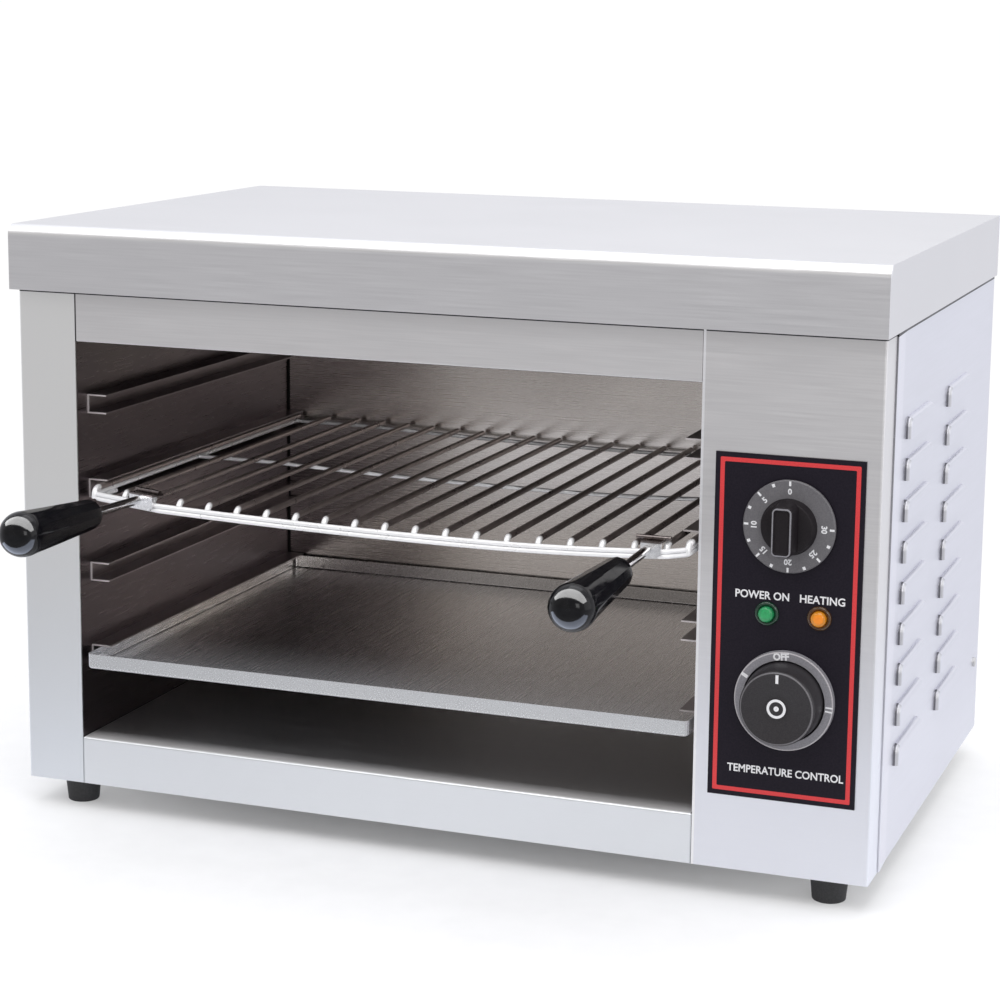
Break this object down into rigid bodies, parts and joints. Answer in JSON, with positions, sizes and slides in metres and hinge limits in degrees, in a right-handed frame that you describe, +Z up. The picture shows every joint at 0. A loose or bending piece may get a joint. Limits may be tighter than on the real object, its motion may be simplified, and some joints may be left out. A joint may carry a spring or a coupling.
{
  "type": "commercial fish grill",
  "caption": "Countertop electric grill: folded steel case, open cooking cavity with rails, sliding wire rack with handles, drip tray, timer, thermostat and pilot lamps.",
  "frame": {"origin": "middle of the overall box, on the surface that the feet stand on", "axes": "+X to the right along the width, +Y from the open front to the rear, +Z up"},
  "size_m": [0.616, 0.5804, 0.417],
  "materials": {
    "outer_steel": "satin stainless sheet with a fine grain",
    "liner_steel": "stainless sheet warmed brown-grey by heat",
    "tray_steel": "stainless sheet with fine scratches",
    "base_sheet": "plain mill finish",
    "rack_chrome": "bright plated wire",
    "hook_steel": "bright plated steel",
    "grip_black": "polished black moulded grip",
    "plate_print": "black print with a red border",
    "knob_black": "moulded dark grey plastic",
    "dial_grey": "grey moulded dial ring",
    "lens_green": "translucent green plastic",
    "lens_orange": "translucent orange plastic",
    "inner_plastic": "moulded insulating plastic",
    "works_metal": "plated steel",
    "heater_sheath": "dark oxidised steel sheath",
    "capillary_copper": "drawn copper",
    "ferrule_brass": "turned brass",
    "block_ceramic": "white fired ceramic",
    "wire_insulation": "silicone insulation",
    "gland_plastic": "black nylon",
    "foot_rubber": "black moulded rubber",
    "fixings": "zinc plated steel"
  },
  "bodies": {
    "case": {"left_side_panel": "outer_steel", "right_side_panel": "outer_steel", "control_panel": "outer_steel", "upper_fascia": "outer_steel", "base_pan": "outer_steel", "base_plate": "base_sheet", "back_panel": "outer_steel", "inner_left_wall": "liner_steel", "partition_wall": "liner_steel", "inner_back_wall": "liner_steel", "reflector": "liner_steel", "lid_cover": "outer_steel", "left_rail_1": "liner_steel", "right_rail_1": "liner_steel", "left_rail_2": "liner_steel", "right_rail_2": "liner_steel", "left_rail_3": "liner_steel", "right_rail_3": "liner_steel", "left_rail_4": "liner_steel", "right_rail_4": "liner_steel", "control_plate": "plate_print", "thermostat_ring": "dial_grey", "green_lamp_lens": "lens_green", "green_lamp_holder": "inner_plastic", "orange_lamp_lens": "lens_orange", "orange_lamp_holder": "inner_plastic", "timer_works": "inner_plastic", "thermostat_works": "works_metal", "front_heating_element": "heater_sheath", "rear_heating_element": "heater_sheath", "element_ferrules": "ferrule_brass", "left_element_hanger": "liner_steel", "right_element_hanger": "liner_steel", "thermostat_bulb": "capillary_copper", "bulb_clips": "liner_steel", "terminal_block": "block_ceramic", "internal_wiring": "wire_insulation", "cable_gland": "gland_plastic", "cable_gland_nut": "gland_plastic", "front_left_foot": "foot_rubber", "front_right_foot": "foot_rubber", "rear_left_foot": "foot_rubber", "rear_right_foot": "foot_rubber", "foot_studs": "fixings", "foot_nuts": "fixings", "side_panel_screws": "fixings", "back_panel_screws": "fixings"},
    "rack": {"wire_rack": "rack_chrome", "left_handle_hook": "hook_steel", "left_handle_shank": "hook_steel", "left_grip": "grip_black", "right_handle_hook": "hook_steel", "right_handle_shank": "hook_steel", "right_grip": "grip_black"},
    "tray": {"drip_tray": "tray_steel"},
    "timer": {"timer_knob": "knob_black", "timer_spindle": "works_metal"},
    "thermostat": {"thermostat_knob": "knob_black", "thermostat_spindle": "works_metal"}
  },
  "joints": [
    {"name": "rack_slide", "type": "slide", "parent": "case", "child": "rack", "axis": [0, -1, 0], "range_m": [0, 0.25]},
    {"name": "tray_slide", "type": "slide", "parent": "case", "child": "tray", "axis": [0, -1, 0], "range_m": [0, 0.25]},
    {"name": "timer_turn", "type": "hinge", "parent": "case", "child": "timer", "pos_m": [0.2466, -0.11795, 0.25], "axis": [0, 1, 0], "range_deg": [0, 270]},
    {"name": "thermostat_turn", "type": "hinge", "parent": "case", "child": "thermostat", "pos_m": [0.2466, -0.11795, 0.137], "axis": [0, 1, 0], "range_deg": [0, 300]}
  ]
}
